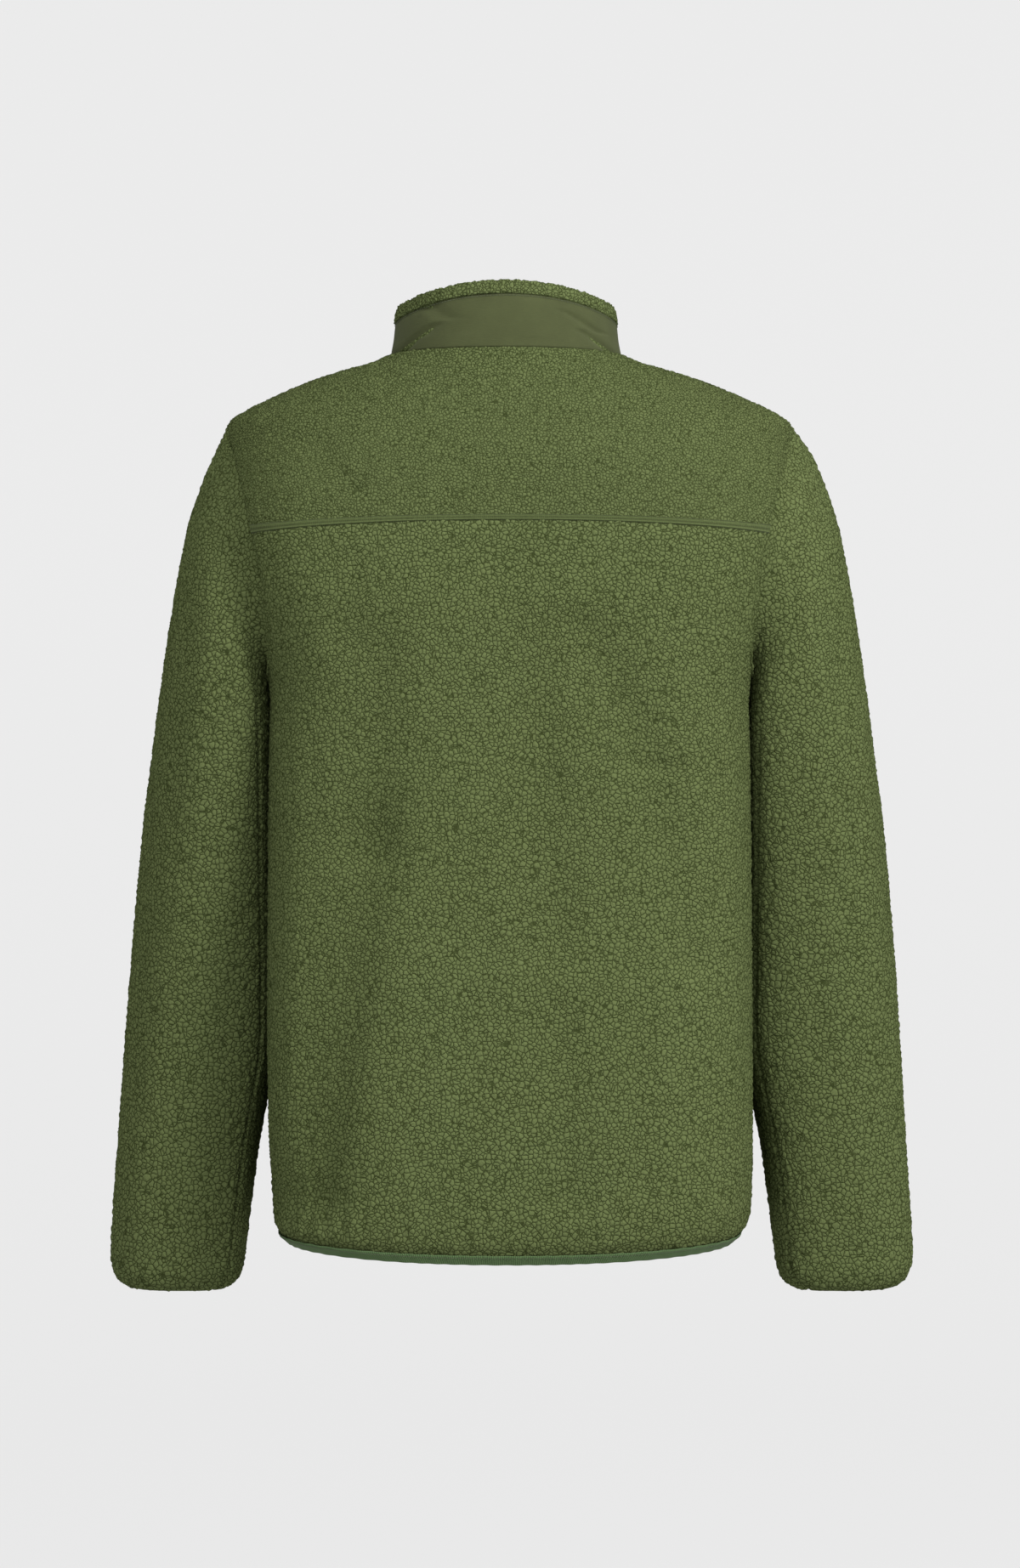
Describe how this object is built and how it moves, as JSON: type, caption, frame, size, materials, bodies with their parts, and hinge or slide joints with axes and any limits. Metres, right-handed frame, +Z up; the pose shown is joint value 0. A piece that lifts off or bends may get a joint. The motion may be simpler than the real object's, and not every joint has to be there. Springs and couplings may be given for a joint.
{
  "type": "fleece jacket",
  "caption": "Zip-front fleece jacket, filled out as if worn: pebbled fleece body and sleeves, woven stand collar with a fleece inside, elastic hem binding.",
  "frame": {"origin": "the middle of the neck hole, level with the side neck points, where the wearer's shoulders hold the jacket", "axes": "+Z up, the front faces -Y, the wearer's left is +X"},
  "size_m": [0.6232, 0.2591, 0.7726],
  "materials": {
    "fleece": "pebbled olive fleece",
    "collar_cloth": "fine plain weave",
    "binding": "elastic binding tape",
    "zip_tape": "woven zip tape",
    "zip_teeth": "moulded teeth",
    "zip_metal": "satin enamel"
  },
  "bodies": {
    "jacket": {"back_body": "fleece", "back_yoke": "fleece", "front_left": "fleece", "front_right": "fleece", "sleeve_left": "fleece", "sleeve_right": "fleece", "collar_shell": "collar_cloth", "collar_fleece": "fleece", "hem_binding": "binding", "zip_tape_left": "zip_tape", "zip_tape_right": "zip_tape", "zip_chain": "zip_teeth", "zip_slider": "zip_metal"},
    "pull": {"zip_pull": "zip_metal"}
  },
  "joints": [
    {"name": "pull_swing", "type": "hinge", "parent": "jacket", "child": "pull", "pos_m": [0, -0.07897, -0.01966], "axis": [-1, 0, 0], "range_deg": [0, 160]}
  ]
}
